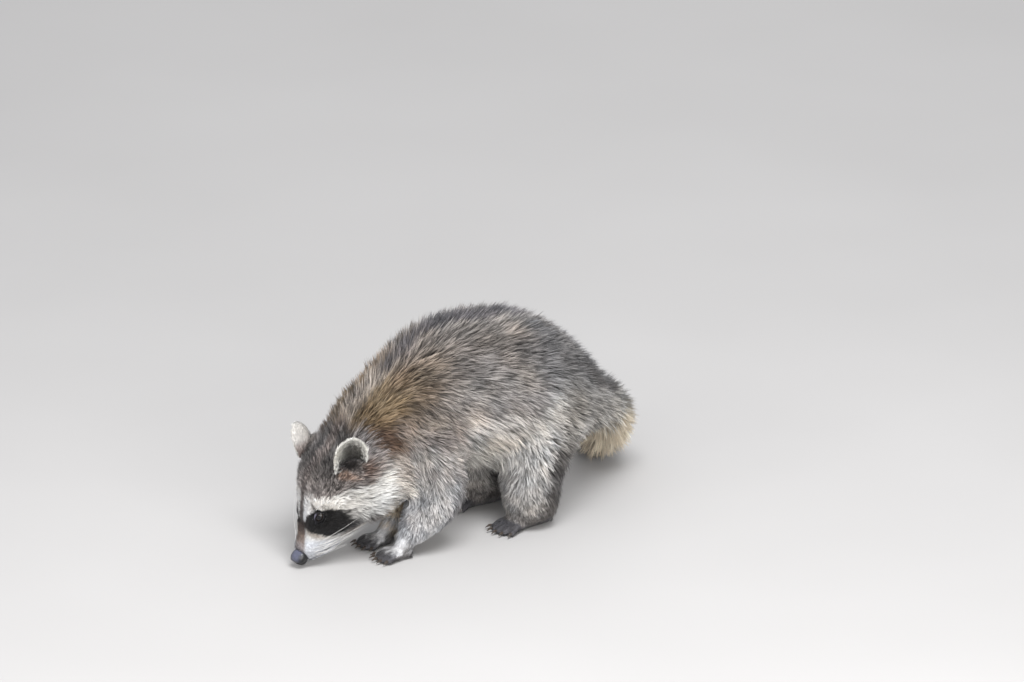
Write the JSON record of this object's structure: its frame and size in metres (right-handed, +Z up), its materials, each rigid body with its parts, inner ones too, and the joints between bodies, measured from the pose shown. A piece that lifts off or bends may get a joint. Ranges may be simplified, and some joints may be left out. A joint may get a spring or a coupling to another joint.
{
  "type": "raccoon",
  "caption": "Still, life-size young raccoon foraging with its nose near the floor, back arched, ringed tail laid behind it.",
  "frame": {"origin": "on the floor, under the middle of the animal's bounding box", "axes": "+Z up; the animal faces -X, its left side is towards -Y, and its tail curls towards +Y"},
  "size_m": [0.4562, 0.2412, 0.2152],
  "materials": {
    "grey_coat": "long grizzled grey-brown fur",
    "pale_coat": "pale grey fur with dark under-hair",
    "ear_coat": "short fur, pale rim and dark grey inside",
    "nose_skin": "moist black pebbled skin",
    "paw_skin": "dark bare skin with short grey hair on top",
    "claw_horn": "dark satin horn",
    "eye": "wet dark brown eye"
  },
  "bodies": {
    "root": {"claw_fore_left_1": "claw_horn", "claw_fore_left_2": "claw_horn", "claw_fore_left_3": "claw_horn", "claw_fore_left_4": "claw_horn", "claw_fore_left_5": "claw_horn", "claw_fore_right_1": "claw_horn", "claw_fore_right_2": "claw_horn", "claw_fore_right_3": "claw_horn", "claw_fore_right_4": "claw_horn", "claw_fore_right_5": "claw_horn", "claw_hind_left_1": "claw_horn", "claw_hind_left_2": "claw_horn", "claw_hind_left_3": "claw_horn", "claw_hind_left_4": "claw_horn", "claw_hind_left_5": "claw_horn", "claw_hind_right_1": "claw_horn", "claw_hind_right_2": "claw_horn", "claw_hind_right_3": "claw_horn", "claw_hind_right_4": "claw_horn", "claw_hind_right_5": "claw_horn", "ear_left": "ear_coat", "ear_right": "ear_coat", "eye_left": "eye", "eye_right": "eye", "foreleg_left": "pale_coat", "foreleg_right": "pale_coat", "forepaw_left": "paw_skin", "forepaw_right": "paw_skin", "head": "grey_coat", "hindleg_left": "pale_coat", "hindleg_right": "pale_coat", "hindpaw_left": "paw_skin", "hindpaw_right": "paw_skin", "neck": "grey_coat", "nose": "nose_skin", "tail_base": "grey_coat", "tail_middle": "grey_coat", "tail_tip": "grey_coat", "trunk": "grey_coat"}
  },
  "joints": []
}
